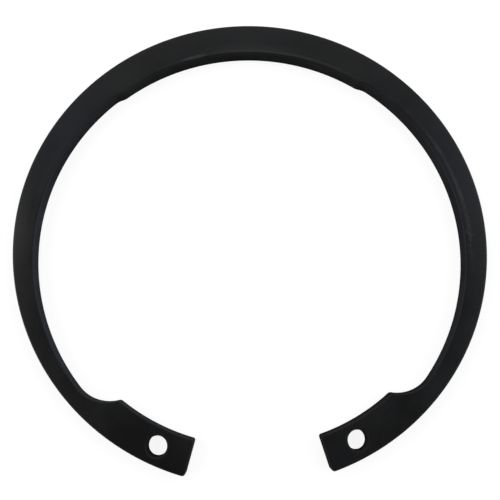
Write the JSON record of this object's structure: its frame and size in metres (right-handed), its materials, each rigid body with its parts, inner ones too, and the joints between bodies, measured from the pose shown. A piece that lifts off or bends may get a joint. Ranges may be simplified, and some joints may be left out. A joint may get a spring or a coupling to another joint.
{
  "type": "circlip retaining ring",
  "caption": "Open spring-steel retaining ring for the groove of a bore, with a tapered band, a thicker middle and two inward lugs with plier holes.",
  "frame": {"origin": "centre of the rim circle, in the plane of the lower face", "axes": "+Z square to the ring's faces, from the lower face to the upper one; the gap between the lugs faces -Y"},
  "size_m": [0.0854, 0.0836, 0.0025],
  "materials": {
    "phosphated_steel": "black phosphate and oil over tumbled spring steel, satin, with rounded edges"
  },
  "bodies": {
    "root": {"ring": "phosphated_steel"}
  },
  "joints": []
}
